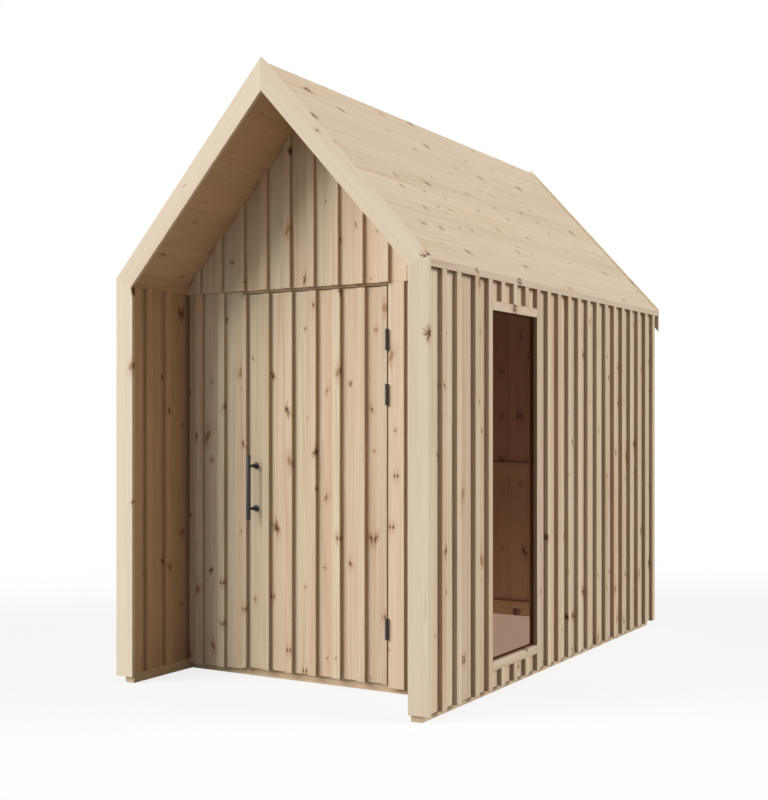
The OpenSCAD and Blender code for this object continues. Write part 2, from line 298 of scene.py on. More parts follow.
def turned(centre, axis, profile, sides=40):
    """A shape turned on a lathe: the profile's (radius, distance) pairs carried round the axis. A
    profile that starts and ends on the axis is closed by two poles, and one that doesn't is joined
    end to end, as a tube's wall."""
    across = np.cross(axis, X if abs(axis[0]) < 0.9 else Y)
    across /= np.linalg.norm(across)
    other = np.cross(axis, across)
    profile = np.array(profile, float)
    solid = profile[0, 0] == 0
    ring = profile[1:-1] if solid else profile
    turn = np.linspace(0, 2 * math.pi, sides, endpoint=False)
    round_it = np.cos(turn)[:, None] * across + np.sin(turn)[:, None] * other
    points = centre + ring[:, None, :1] * round_it[None] + ring[:, None, 1:] * axis
    points = points.reshape(-1, 3)
    rows = np.arange(len(ring) - 1 if solid else len(ring))[:, None]
    here = np.arange(sides)
    beyond = (here + 1) % sides
    below = (rows + 1) % len(ring)
    quads = [rows * sides + here, rows * sides + beyond, below * sides + beyond, below * sides + here]
    faces = np.stack(quads, 2).reshape(-1, 4).tolist()
    if solid:
        poles = centre + profile[[0, -1], 1:] * axis
        first, last = len(points), len(points) + 1
        end = (len(ring) - 1) * sides
        faces += np.stack([np.full(sides, first), beyond, here], 1).tolist()
        faces += np.stack([np.full(sides, last), end + here, end + beyond], 1).tolist()
        points = np.vstack([points, poles])
    return points, faces


def rod(radius, start, end, soften):
    """Lathe profile of a plain rod with softened ends."""
    cut = soften * (1 - math.sqrt(0.5))
    return [
        (0, start), (radius - soften, start), (radius - cut, start + cut), (radius, start + soften),
        (radius, end - soften), (radius - cut, end - cut), (radius - soften, end), (0, end),
    ]


def tube(radius, bore, start, end, soften):
    """Lathe profile of a tube's wall with softened outer edges."""
    return [
        (bore, start), (radius - soften, start), (radius, start + soften),
        (radius, end - soften), (radius - soften, end), (bore, end),
    ]


SHARP_FROM = math.radians(35)


def put_piece(name, parts, material, body, node, smooth=False):
    """Puts the parts' points and faces into one mesh, with the wood's coordinates and tones as
    attributes where they have them, and hands the piece to the frame in place of a CAD node."""
    points, faces, start = [], [], 0
    for part in parts:
        points.append(part[0])
        corners = np.asarray(part[1], dtype=object).tolist()
        faces += [[start + corner for corner in face] for face in corners]
        start += len(part[0])
    if not start:
        raise RuntimeError(f"{name} has no boards")
    mesh = bpy.data.meshes.new(name)
    mesh.from_pydata(np.vstack(points), [], faces)
    if len(parts[0]) == 4:
        grain = np.vstack([part[2] for part in parts]).astype(np.float32)
        tone = np.concatenate([part[3] for part in parts]).astype(np.float32)
        mesh.attributes.new("grain_at", "FLOAT_VECTOR", "POINT").data.foreach_set("vector", grain.ravel())
        mesh.attributes.new("board_tone", "FLOAT", "POINT").data.foreach_set("value", tone)
    if smooth:
        mesh.polygons.foreach_set("use_smooth", np.ones(len(mesh.polygons), bool))
        mesh.set_sharp_from_angle(angle=SHARP_FROM)
    mesh.materials.append(material)
    mesh.update()
    piece = bpy.data.objects.new(name, mesh)
    bpy.context.scene.collection.objects.link(piece)
    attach(piece, body)
    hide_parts(node)


def put_timber(name, parts, node, slot, edges=None, body="shed"):
    """Puts a piece of timber with the finish of its slot."""
    put_piece(name, parts, timber_material(slot, edges), body, node)


def filled(node, axes, seed, **cuts):
    """One board that fills the box of a CAD node."""
    low, high = (np.array(corner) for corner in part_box(node))
    a, b = axes @ low, axes @ high
    return boards(axes, a[0], b[0], a[1], b[1], a[2], b[2], seed, **cuts)


def between(edges, joint):
    """Left and right edges of the boards that lie between a row of joints."""
    edges = np.asarray(edges, float)
    left, right = edges[:-1].copy(), edges[1:].copy()
    left[1:] += joint / 2
    right[:-1] -= joint / 2
    return left, right


def stepped(start, stop, step):
    """Edges from start to stop, about a step apart."""
    return np.linspace(start, stop, max(2, round((stop - start) / step) + 1))


def under_slope(across, depth):
    """A top cut to the slope, just under the roof's layer at the given depth. across says which of the
    board's coordinates, 0 across it or 1 through it, is the distance from the shed's middle."""
    return lambda *at: roof_height(at[across], depth) - SEAT


# ---------------------------------------------------------------- materials


class Graph:
    """Places nodes in one node tree and links them."""

    def __init__(self, tree):
        self.tree = tree
        self.placed = 0

    def node(self, kind, inputs=(), **settings):
        made = self.tree.nodes.new(kind)
        made.location = (200 * (self.placed // 6), -180 * (self.placed % 6))
        self.placed += 1
        for key, value in settings.items():
            setattr(made, key, value)
        for key, value in dict(inputs).items():
            self.put(made.inputs[key], value)
        return made

    def put(self, socket, value):
        if isinstance(value, bpy.types.NodeSocket):
            self.tree.links.new(value, socket)
        else:
            socket.default_value = value

    def math(self, operation, *values, clamp=False):
        inputs = dict(enumerate(values))
        return self.node("ShaderNodeMath", inputs, operation=operation, use_clamp=clamp).outputs[0]

    def add(self, *values):
        return self.math("ADD", *values)

    def sub(self, *values):
        return self.math("SUBTRACT", *values)

    def mul(self, *values, clamp=False):
        return self.math("MULTIPLY", *values, clamp=clamp)

    def div(self, *values):
        return self.math("DIVIDE", *values)

    def size(self, value):
        return self.math("ABSOLUTE", value)

    def rest(self, share):
        """What is left of 1."""
        return self.sub(1.0, share)

    def swing(self, value, width):
        """A value from 0 to 1 as one that swings about 0 over the given width."""
        return self.mul(self.sub(value, 0.5), width)

    def far(self, first, second):
        """Length of a line whose two parts are given."""
        parts = [self.math("POWER", self.size(part), 2.0) for part in (first, second)]
        return self.math("SQRT", self.add(*parts))

    def vector(self, operation, *values):
        return self.node("ShaderNodeVectorMath", dict(enumerate(values)), operation=operation).outputs[0]

    def split(self, vector):
        return self.node("ShaderNodeSeparateXYZ", {"Vector": vector}).outputs

    def joined(self, **parts):
        return self.node("ShaderNodeCombineXYZ", parts).outputs[0]

    def rgb(self, red, green, blue):
        return self.node("ShaderNodeCombineColor", {"Red": red, "Green": green, "Blue": blue}).outputs[0]

    def ramp(self, value, low, high, to_low=0.0, to_high=1.0):
        """A smooth step from to_low, where the value is low, to to_high, where it is high."""
        inputs = {"Value": value, "From Min": low, "From Max": high, "To Min": to_low, "To Max": to_high}
        made = self.node("ShaderNodeMapRange", inputs, interpolation_type="SMOOTHSTEP", clamp=True)
        return made.outputs["Result"]

    def blend(self, share, first, second, kind="MIX"):
        made = self.node("ShaderNodeMix", data_type="RGBA", blend_type=kind)
        self.put(made.inputs["Factor"], share)
        self.put(made.inputs[6], first)
        self.put(made.inputs[7], second)
        return made.outputs[2]

    def noise(self, at, stretch, detail=2.0, roughness=0.5):
        """Noise in three dimensions, whose size along each axis is one over stretch, in metres."""
        at = self.vector("MULTIPLY", at, stretch)
        inputs = {"Vector": at, "Scale": 1.0, "Detail": detail, "Roughness": roughness}
        return self.node("ShaderNodeTexNoise", inputs, noise_dimensions="3D").outputs["Fac"]

    def cloud(self, at, scale, detail):
        """Even noise."""
        return self.node("ShaderNodeTexNoise", {"Vector": at, "Scale": scale, "Detail": detail}).outputs["Fac"]


def new_group(name, inputs):
    """An empty node group with the given (name, default) inputs, colours where the default has four
    parts, that puts out Colour, Roughness and Height."""
    group = bpy.data.node_groups.new(name, "ShaderNodeTree")
    kinds = {True: "NodeSocketColor", False: "NodeSocketFloat"}
    for label, default in inputs:
        kind = kinds[isinstance(default, tuple)]
        group.interface.new_socket(label, in_out="INPUT", socket_type=kind).default_value = default
    for label in ("Colour", "Roughness", "Height"):
        group.interface.new_socket(label, in_out="OUTPUT", socket_type=kinds[label == "Colour"])
    return group


def softwood_group():
    """Node group of sawn and planed knotty softwood, read from each board's own coordinates: growth
    rings as the distance from a wandering pith, streaks and fibres drawn out along the board, and
    knots that pass through it, single or in mirrored pairs, that push the rings aside."""
    group = new_group("Knotty Softwood", (
        ("Clear Colour", (0.75, 0.6, 0.43, 1)),
        ("Latewood Colour", (0.5, 0.33, 0.18, 1)),
        ("Heartwood Colour", (0.7, 0.5, 0.33, 1)),
        ("Knot Colour", (0.1, 0.04, 0.015, 1)),
        ("Resin Colour", (0.5, 0.22, 0.09, 1)),
        ("Ring Spacing", 0.0045),
        ("Ring Depth", 0.5),
        ("Streak Depth", 0.5),
        ("Tone Spread", 0.12),
        ("Hue Spread", 0.03),
        ("Pinkness", 0.0),
        ("Warm Streaks", 0.2),
        ("Knot Share", 0.4),
        ("Sound Share", 0.22),
        ("Knot Size", 0.007),
        ("Knot Spacing", 0.14),
    ))
    g = Graph(group)
    given = g.node("NodeGroupInput").outputs
    at = g.node("ShaderNodeAttribute", attribute_name="grain_at").outputs["Vector"]
    tone = g.node("ShaderNodeAttribute", attribute_name="board_tone").outputs["Fac"]
    split = g.split(at)
    across, through, along = split["X"], split["Y"], split["Z"]

    # Knots: one per cell of a loose pattern, left out where the cell's first random value is high
    tall = g.mul(given["Knot Spacing"], 1.9)
    cell = g.joined(X=g.div(across, given["Knot Spacing"]), Y=g.div(along, tall))
    pattern = g.node(
        "ShaderNodeTexVoronoi", {"Vector": cell, "Scale": 1.0, "Randomness": 0.85},
        voronoi_dimensions="2D", feature="F1",
    )
    away = g.split(g.vector("SUBTRACT", cell, pattern.outputs["Position"]))
    chance = g.node("ShaderNodeSeparateColor", {"Color": pattern.outputs["Color"]}).outputs
    present = g.math("LESS_THAN", chance["Red"], given["Knot Share"])
    side = g.mul(away["X"], given["Knot Spacing"])
    up = g.mul(away["Y"], tall)
    # Kinds: a burst has rays of dark wood, a sound knot is larger, single and pale in the middle
    burst = g.math("GREATER_THAN", chance["Blue"], 0.80)
    sound = g.math("LESS_THAN", chance["Blue"], given["Sound Share"])
    growth = g.ramp(g.math("FRACT", g.mul(chance["Red"], 13.7)), 0.0, 1.0, 0.40, 1.1)
    plain = g.mul(given["Knot Size"], growth)
    size = g.mul(plain, g.add(1.0, g.add(g.mul(sound, 0.9), g.mul(burst, 0.35))))
    # A pair lies mirrored about its middle, and each knot leans
    paired = g.mul(g.math("GREATER_THAN", chance["Green"], 0.35), g.rest(sound))
    apart = g.sub(g.size(side), g.mul(size, 1.25))
    single = g.mul(side, g.rest(paired))
    lateral = g.add(single, g.mul(apart, paired))
    tilt = g.swing(chance["Green"], 2.4)
    rise = g.sub(up, g.mul(lateral, tilt))
    ragged = g.swing(g.noise(at, (160, 160, 160)), 0.9)
    narrow = g.div(lateral, g.mul(size, g.rest(g.mul(paired, 0.35))))
    reach = g.far(narrow, g.div(rise, g.mul(size, 1.25)))
    turn = g.math("ARCTAN2", rise, lateral)
    rays = g.noise(g.joined(X=g.mul(turn, 1.9), Y=g.mul(chance["Green"], 40.0)), (1, 1, 1), 2.0, 0.7)
    spiked = g.div(reach, g.ramp(rays, 0.35, 0.68, 0.45, 3.1))
    edge = g.add(g.add(g.mul(reach, g.rest(burst)), g.mul(spiked, burst)), ragged)
    # What a knot colours: its heart, the rim and halo round it and the resin tail along the grain
    hollow = g.rest(g.mul(sound, g.ramp(edge, 0.95, 0.70, 0.0, 0.82)))
    heart = g.mul(g.mul(g.ramp(edge, 1.05, 0.60), hollow), present)
    rim = g.mul(g.ramp(edge, 1.9, 0.9), present)
    halo = g.mul(g.ramp(reach, 5.5, 1.0), present)
    tail = g.ramp(g.size(lateral), g.mul(size, 0.9), 0.0)
    tail = g.mul(tail, g.ramp(g.size(up), g.mul(size, 11.0), size))
    tail = g.mul(tail, present)

    # Growth rings, pushed aside by the knots
    wander = g.swing(g.noise(at, (6, 6, 0.9), 1.0), 0.034)
    waver = g.swing(g.noise(at, (24, 24, 3.2)), 0.006)
    radius = g.far(g.add(across, wander), g.add(through, waver))
    pushed = g.mul(g.mul(halo, halo), g.mul(size, 1.1))
    rings = g.div(g.add(g.add(radius, g.mul(along, 0.004)), pushed), given["Ring Spacing"])
    phase = g.math("FRACT", rings)
    late = g.mul(g.ramp(phase, 0.25, 0.86), g.ramp(phase, 1.0, 0.9))
    year = g.noise(g.joined(X=g.math("FLOOR", rings)), (0.71, 0, 0), 0.0)
    late = g.mul(late, g.ramp(year, 0.3, 0.75, 0.35, 1.0))

    # Streaks and fibres, then the colours from the clear wood up to the rings and warm streaks
    streak = g.noise(at, (48, 48, 0.8), 3.0, 0.6)
    broad = g.noise(at, (11, 11, 0.45), 2.0, 0.5)
    fibre = g.noise(at, (520, 520, 11), 2.0, 0.6)
    heartwood = g.mul(g.ramp(broad, 0.44, 0.72), g.mul(given["Streak Depth"], 1.1), clamp=True)
    ground = g.blend(heartwood, given["Clear Colour"], given["Heartwood Colour"])
    ground = g.blend(g.mul(late, given["Ring Depth"], clamp=True), ground, given["Latewood Colour"])
    fine = g.noise(at, (170, 170, 1.7), 3.0, 0.65)
    lines = g.add(g.ramp(streak, 0.46, 0.78), g.mul(g.ramp(fine, 0.45, 0.75), 0.8))
    lines = g.mul(lines, given["Streak Depth"], clamp=True)
    ground = g.blend(g.mul(lines, 0.8), ground, given["Latewood Colour"])
    patches = g.ramp(g.noise(at, (9, 9, 0.55), 2.0), 0.56, 0.68)
    warm = g.mul(patches, g.ramp(g.noise(at, (90, 90, 0.9), 2.0), 0.42, 0.62))
    ground = g.blend(g.mul(warm, given["Warm Streaks"]), ground, given["Resin Colour"])

    # Each board's own shade, and its own hue from a little yellow to a little pink
    shade = g.add(1.0, g.swing(tone, given["Tone Spread"]))
    shade = g.add(shade, g.swing(fibre, 0.10))
    own = g.math("FRACT", g.mul(tone, 7.3))
    pink = g.add(g.swing(own, given["Hue Spread"]), given["Pinkness"])
    green = g.mul(g.math("POWER", shade, 1.15), g.rest(pink))
    blue = g.mul(g.math("POWER", shade, 1.35), g.rest(g.mul(pink, 0.8)))
    ground = g.blend(1.0, ground, g.rgb(shade, green, blue), "MULTIPLY")

    for mask, depth in ((halo, 0.22), (tail, 0.38), (rim, 0.72)):
        ground = g.blend(g.mul(mask, depth), ground, given["Resin Colour"])
    ground = g.blend(g.mul(heart, 0.93), ground, given["Knot Colour"])
    roughness = g.sub(g.add(0.66, g.mul(fibre, 0.12)), g.add(g.mul(late, 0.08), g.mul(rim, 0.16)))
    height = g.add(g.mul(late, 0.35), g.add(g.mul(fibre, 0.55), g.mul(rim, -0.5)))
    g.node("NodeGroupOutput", {"Colour": ground, "Roughness": roughness, "Height": height})
    return group


def coat_group():
    """Node group of powder coat: a fine orange-peel height and slightly uneven sheen and shade."""
    inputs = (("Colour", (0.03, 0.03, 0.03, 1)), ("Grain", 900.0), ("Unevenness", 0.2))
    group = new_group("Powder Coat", inputs)
    g = Graph(group)
    given = g.node("NodeGroupInput").outputs
    at = g.node("ShaderNodeTexCoord").outputs["Object"]
    peel = g.cloud(at, given["Grain"], 2.0)
    cloud = g.cloud(at, 22.0, 3.0)
    shade = g.add(1.0, g.swing(cloud, given["Unevenness"]))
    tinted = g.blend(1.0, given["Colour"], g.rgb(shade, shade, shade), "MULTIPLY")
    roughness = g.add(0.34, g.add(g.mul(cloud, 0.18), g.mul(peel, 0.08)))
    g.node("NodeGroupOutput", {"Colour": tinted, "Roughness": roughness, "Height": peel})
    return group


def effect(name, build):
    """A shared node group, built the first time it is asked for."""
    return bpy.data.node_groups.get(name) or build()


def new_material(name):
    """An empty node material with its Principled shader, as (material, graph, shader)."""
    material = bpy.data.materials.new(name)
    material.use_nodes = True
    tree = material.node_tree
    return material, Graph(tree), next(n for n in tree.nodes if n.type == "BSDF_PRINCIPLED")


def finish_colour(field):
    """One of the shed's colours with its alpha."""
    return (*getattr(bpy.context.scene.shed_finishes, field), 1.0)


def wire(graph, shader, source, depth, strength):
    """Feeds a group's colour, roughness and height to the shader."""
    graph.put(shader.inputs["Base Color"], source.outputs["Colour"])
    graph.put(shader.inputs["Roughness"], source.outputs["Roughness"])
    inputs = {"Height": source.outputs["Height"], "Strength": strength, "Distance": depth}
    graph.put(shader.inputs["Normal"], graph.node("ShaderNodeBump", inputs).outputs["Normal"])


# Share of the knot colour painted on the narrow sides of cladding and door: painted shade, darker whatever the
# light
EDGE_PAINTED_SHADE = 0.29
# How much pinker the boards of the side walls are than those of the front
SIDE_PINKNESS = 0.025
# The look of each timber's rings, streaks and knots, after the setting that holds its clear colour
TIMBER_SOCKETS = (
    "Ring Depth", "Streak Depth", "Tone Spread", "Hue Spread", "Warm Streaks",
    "Knot Share", "Sound Share", "Knot Size", "Knot Spacing",
)
TIMBERS = {
    "facing_wood": ("facing", 0.18, 0.16, 0.22, 0.03, 0.06, 0.24, 0.22, 0.0048, 0.16),
    "cladding_wood": ("cladding", 0.32, 0.48, 0.15, 0.055, 0.28, 0.46, 0.22, 0.0062, 0.13),
    "door_wood": ("cladding", 0.32, 0.48, 0.13, 0.055, 0.34, 0.40, 0.22, 0.0064, 0.13),
    "roof_wood": ("roof", 0.12, 0.30, 0.05, 0.03, 0.34, 0.60, 0.08, 0.0052, 0.13),
    "frame_wood": ("lining", 0.36, 0.55, 0.16, 0.03, 0.20, 0.36, 0.22, 0.0070, 0.14),
    "sill_wood": ("sill", 0.45, 0.50, 0.10, 0.03, 0.20, 0.30, 0.22, 0.0064, 0.15),
}


def timber_material(slot, edges=None):
    """The wood of one material slot. Where edges names the axis that the boards' narrow sides face, those sides are
    painted a little darker: painted shade, like the shade that falls between the battens."""
    name = "finish_" + slot + ("_" + edges if edges else "")
    if name in bpy.data.materials:
        return bpy.data.materials[name]
    material, graph, shader = new_material(name)
    clear, *values = TIMBERS[slot]
    wood = graph.node("ShaderNodeGroup", node_tree=effect("Knotty Softwood", softwood_group))
    fields = {"Clear": clear, "Latewood": "latewood", "Heartwood": "pink", "Knot": "knot", "Resin": "resin"}
    for word, field in fields.items():
        wood.inputs[word + " Colour"].default_value = finish_colour(field)
    for socket, value in zip(TIMBER_SOCKETS, values):
        wood.inputs[socket].default_value = value
    wire(graph, shader, wood, depth=0.0004, strength=0.6)
    shader.inputs["Specular IOR Level"].default_value = 0.32
    if slot == "cladding_wood" and edges == "Y":
        wood.inputs["Pinkness"].default_value = SIDE_PINKNESS
    if edges:
        # Painted shade: faces turned towards the edges axis take a share of the knot colour, whatever the light
        sideways = graph.split(graph.node("ShaderNodeTexCoord").outputs["Normal"])[edges]
        share = graph.ramp(graph.size(sideways), 0.6, 1.0, to_high=EDGE_PAINTED_SHADE)
        painted_edge_shade = graph.blend(share, wood.outputs["Colour"], finish_colour("knot"))
        graph.put(shader.inputs["Base Color"], painted_edge_shade)
    return material


def coated_metal():
    """Dark satin powder coat of handle and hinges."""
    name = "finish_black_metal"
    if name in bpy.data.materials:
        return bpy.data.materials[name]
    material, graph, shader = new_material(name)
    coat = graph.node("ShaderNodeGroup", node_tree=effect("Powder Coat", coat_group))
    coat.inputs["Colour"].default_value = finish_colour("metal")
    wire(graph, shader, coat, depth=0.0001, strength=0.3)
    shader.inputs["Metallic"].default_value = 0.0
    shader.inputs["Specular IOR Level"].default_value = 0.5
    return material


def glazing_wood():
    """Slim wooden frame behind the glass: a plain grain drawn out upwards, from its own clear colour
    to the latewood's."""
    material, graph, shader = new_material("finish_glazing_frame")
    at = graph.node("ShaderNodeTexCoord").outputs["Object"]
    grain = graph.noise(at, (220, 40, 14), 3.0, 0.6)
    clear, latewood = finish_colour("glazing"), finish_colour("latewood")
    graph.put(shader.inputs["Base Color"], graph.blend(graph.ramp(grain, 0.4, 0.75), clear, latewood))
    graph.put(shader.inputs["Roughness"], graph.ramp(grain, 0.0, 1.0, to_low=0.6, to_high=0.75))
    shader.inputs["Specular IOR Level"].default_value = 0.3
    return material


# So low that the pane mirrors nothing and bends nothing that is seen through it
GLASS_IOR = 1.04
# The tint's share in the faint patches where the pane is darker
PATCH_TINT = 0.9


def tinted_glass():
    """Bronze glass with a faint unevenness of its surface."""
    material, graph, shader = new_material("finish_glass")
    at = graph.node("ShaderNodeTexCoord").outputs["Object"]
    wave, dust = graph.cloud(at, 3.0, 1.0), graph.cloud(at, 260.0, 3.0)
    tint = finish_colour("glass")
    darker = (*(PATCH_TINT * c for c in tint[:3]), 1.0)
    graph.put(shader.inputs["Base Color"], graph.blend(graph.mul(wave, 0.12), tint, darker))
    graph.put(shader.inputs["Roughness"], graph.ramp(dust, 0.55, 0.9, to_high=0.02))
    bump = graph.node("ShaderNodeBump", {"Height": wave, "Strength": 0.02, "Distance": 0.001})
    graph.put(shader.inputs["Normal"], bump.outputs["Normal"])
    shader.inputs["Transmission Weight"].default_value = 1.0
    shader.inputs["IOR"].default_value = GLASS_IOR
    # Lamps and the light bounced about the room pass straight through, tinted by each of the two faces
    face_tint = tuple(math.sqrt(c) for c in tint)
    clear = graph.node("ShaderNodeBsdfTransparent", {"Color": face_tint}).outputs[0]
    path = graph.node("ShaderNodeLightPath").outputs
    passing = graph.math("MAXIMUM", path["Is Shadow Ray"], path["Is Diffuse Ray"])
    pane = graph.node("ShaderNodeMixShader", {0: passing, 1: shader.outputs[0], 2: clear}).outputs[0]
    output = next(n for n in material.node_tree.nodes if n.type == "OUTPUT_MATERIAL")
    graph.put(output.inputs["Surface"], pane)
    return material


# ---------------------------------------------------------------- operators


# Lamps: name, the setting of its strength, direction towards it, spread in degrees, colour
LAMPS = (
    ("key_lamp", "key", (-0.68, -0.86, 0.60), 40, (1.0, 0.985, 0.965)),
    ("far_lamp", "far", (0.89, 0.40, 0.53), 36, (1.0, 0.985, 0.965)),
    ("front_fill", "fill", (-0.26, -0.95, 0.18), 50, (1.0, 0.98, 0.95)),
)
FLOOR_SIDES = 96
FLOOR_RINGS = (2.0, 4.0, 8.0, 30.0)
FLOOR_DROP = 0.0005
LAMP_DISTANCE = 6


def seen_directly(graph, path):
    """1 for rays from the camera, mirrored ones and those that pass through glass, otherwise 0."""
    mirrored = graph.math("MAXIMUM", path["Is Glossy Ray"], path["Is Transmission Ray"])
    return graph.math("MAXIMUM", path["Is Camera Ray"], mirrored)


def bare_graph(holder):
    """The emptied node tree of a material or world."""
    holder.use_nodes = True
    holder.node_tree.nodes.clear()
    return Graph(holder.node_tree)


class SHED_OT_stage(bpy.types.Operator):
    """Puts up the floor, the lamps, the surroundings and the camera"""

    bl_idname = "shed.stage"
    bl_label = "Stage"

    def execute(self, context):
        scene = context.scene
        stage = scene.shed_stage
        self.floor(scene, stage)
        self.surroundings(scene, stage)
        for name, setting, towards, spread, tint in LAMPS:
            self.lamp(scene, name, getattr(stage, setting), Vector(towards), spread, tint)
        self.camera(scene)
        scene.view_settings.view_transform = "Standard"
        return {"FINISHED"}

    def floor(self, scene, stage):
        """Round floor, 60 m across: circles of points at growing distances."""
        turn = np.linspace(0, 2 * math.pi, FLOOR_SIDES, endpoint=False)
        ring = np.stack([np.cos(turn), np.sin(turn), 0 * turn], 1)
        rings = np.array(FLOOR_RINGS)[:, None, None] * ring
        points = np.vstack([np.zeros((1, 3)), rings.reshape(-1, 3)])
        points[:, 2] = -FLOOR_DROP
        here = np.arange(FLOOR_SIDES)
        beyond = (here + 1) % FLOOR_SIDES
        faces = np.stack([0 * here, 1 + here, 1 + beyond], 1).tolist()
        for row in range(len(FLOOR_RINGS) - 1):
            a, b = 1 + FLOOR_SIDES * row, 1 + FLOOR_SIDES * (row + 1)
            faces += np.stack([a + here, b + here, b + beyond, a + beyond], 1).tolist()
        mesh = bpy.data.meshes.new("floor")
        mesh.from_pydata(points, [], faces)
        floor = bpy.data.objects.new("floor", mesh)
        scene.collection.objects.link(floor)
        mesh.materials.append(self.floor_material(stage))

    def floor_material(self, stage):
        """Pale floor that shows nearly white to the camera and keeps a soft shadow. Inside the room,
        where no lamp reaches, it gives the soft light that it shows."""
        material = bpy.data.materials.new("finish_floor")
        g = bare_graph(material)
        seen = seen_directly(g, g.node("ShaderNodeLightPath").outputs)
        at = g.node("ShaderNodeTexCoord").outputs["Object"]
        away = g.node("ShaderNodeVectorMath", {0: at}, operation="LENGTH").outputs["Value"]
        grey = g.blend(seen, (0.22, 0.21, 0.20, 1.0), (0.92, 0.92, 0.92, 1.0))
        cover = g.node("ShaderNodeBsdfDiffuse", {"Color": grey}).outputs[0]
        glow = g.node("ShaderNodeEmission", {"Color": (1.0, 1.0, 1.0, 1.0), "Strength": 1.02}).outputs[0]
        place = g.split(at)
        middle, half = (FRONT_FRAME_BACK + REAR_FRAME_IN) / 2, (REAR_FRAME_IN - FRONT_FRAME_BACK) / 2
        inside = g.mul(
            g.math("LESS_THAN", g.size(place["X"]), FRAME_IN),
            g.math("LESS_THAN", g.size(g.sub(place["Y"], middle)), half),
        )
        outside = g.mul(seen, g.ramp(away, 2.5, 7.0, 0.80, 1.0))
        share = g.math("MAXIMUM", outside, g.mul(inside, stage.room))
        surface = g.node("ShaderNodeMixShader", {0: share, 1: cover, 2: glow}).outputs[0]
        g.node("ShaderNodeOutputMaterial", {"Surface": surface})
        return material

    def surroundings(self, scene, stage):
        """White to the eye and in reflections, a dim even light on everything else."""
        world = bpy.data.worlds.new("surroundings")
        g = bare_graph(world)
        seen = seen_directly(g, g.node("ShaderNodeLightPath").outputs)
        light = g.add(g.mul(seen, 1.0 - stage.around), stage.around)
        back = g.node("ShaderNodeBackground", {"Color": (1.0, 1.0, 1.0, 1.0), "Strength": light}).outputs[0]
        g.node("ShaderNodeOutputWorld", {"Surface": back})
        scene.world = world

    def lamp(self, scene, name, energy, direction, spread, tint):
        """A very soft lamp far away in the given direction."""
        light = bpy.data.lights.new(name, "SUN")
        light.energy = energy
        light.angle = math.radians(spread)
        light.color = tint
        holder = bpy.data.objects.new(name, light)
        holder.rotation_mode = "QUATERNION"
        holder.rotation_quaternion = direction.to_track_quat("Z", "Y")
        holder.location = direction * LAMP_DISTANCE
        scene.collection.objects.link(holder)

    def camera(self, scene):
        """Level camera at chest height, to the right in front."""
        data = bpy.data.cameras.new("camera")
        data.lens = 56.534
        data.sensor_width = 36.0
        data.shift_y = 0.0232
        data.clip_end = 200.0
        holder = bpy.data.objects.new("camera", data)
        holder.location = (3.3146, -6.0763, 1.2672)
        holder.rotation_euler = (math.radians(90), 0.0, math.radians(30.33))
        scene.collection.objects.link(holder)
        scene.camera = holder


class SHED_OT_sills(bpy.types.Operator):
    """Lays the four sills on the ground"""

    bl_idname = "shed.sills"
    bl_label = "Sills"

    def execute(self, context):
        run = {"left": LENGTHWISE, "right": LENGTHWISE, "front": CROSSWISE, "rear": CROSSWISE}
        for number, (word, axes) in enumerate(run.items()):
            beam = filled("sill_" + word, axes, 11 + number, arris=0.002)
            put_timber("beam_sill_" + word, [beam], "sill_" + word, "sill_wood")
        return {"FINISHED"}


def slope_axes(side, along_slope):
    """Axes and origin of the roof slope on one side (-1 left, 1 right), with the origin at the eave
    corner of the facing. Boards run up the slope, or lengthwise with their width up the slope."""
    up = np.array([-side * COSINE, 0.0, SINE])
    out = np.array([side * SINE, 0.0, COSINE])
    axes = np.array([out, Y, up]) if along_slope else np.array([up, out, Y])
    return axes, np.array([side * HALF_WIDTH, 0.0, EAVE])


class SHED_OT_facing(bpy.types.Operator):
    """Fits the mitred facing round the front and the barge boards at the rear"""

    bl_idname = "shed.facing"
    bl_label = "Facing"

    def execute(self, context):
        width = HALF_WIDTH - FACING_INNER
        barge_width = (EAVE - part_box("barge_board_right")[0].z) * COSINE
        inner_height = roof_height(FACING_INNER, width)
        mitre = (EAVE - inner_height) / width
        edge = {"arris": 0.0016, "end_arris": 0.0005}
        rounder = {"arris": 0.0016, "end_arris": 0.0008}
        # Cuts of the sloping boards, from how far each line of the board lies outside the slope's edge
        foot_mitre = lambda u, v: -u * (1 - SINE) / COSINE
        plumb_foot = lambda u, v: u * SINE / COSINE
        ridge = lambda u, v: (HALF_WIDTH + u * SINE) / COSINE
        for side, word in SIDES:
            post = boards(
                flipped(UPRIGHT_ON_FRONT, across=side), FACING_INNER, HALF_WIDTH, FRONT, FACING_BACK,
                FOOT, lambda u, v: inner_height + (u - FACING_INNER) * mitre, 24 + side, **edge,
            )
            put_timber("facing_board_post_" + word, [post], "facing_post_" + word, "facing_wood")
            axes, origin = slope_axes(side, True)
            rafter = boards(axes, -width, 0.0, FRONT, FACING_BACK, foot_mitre, ridge, 40 + side, origin, **edge)
            put_timber("facing_board_rafter_" + word, [rafter], "facing_rafter_" + word, "facing_wood")
            barge = boards(
                axes, -barge_width, 0.0, BARGE_FRONT, REAR, plumb_foot, ridge, 43 + side, origin, **rounder
            )
            put_timber("barge_plank_" + word, [barge], "barge_board_" + word, "facing_wood")
        return {"FINISHED"}


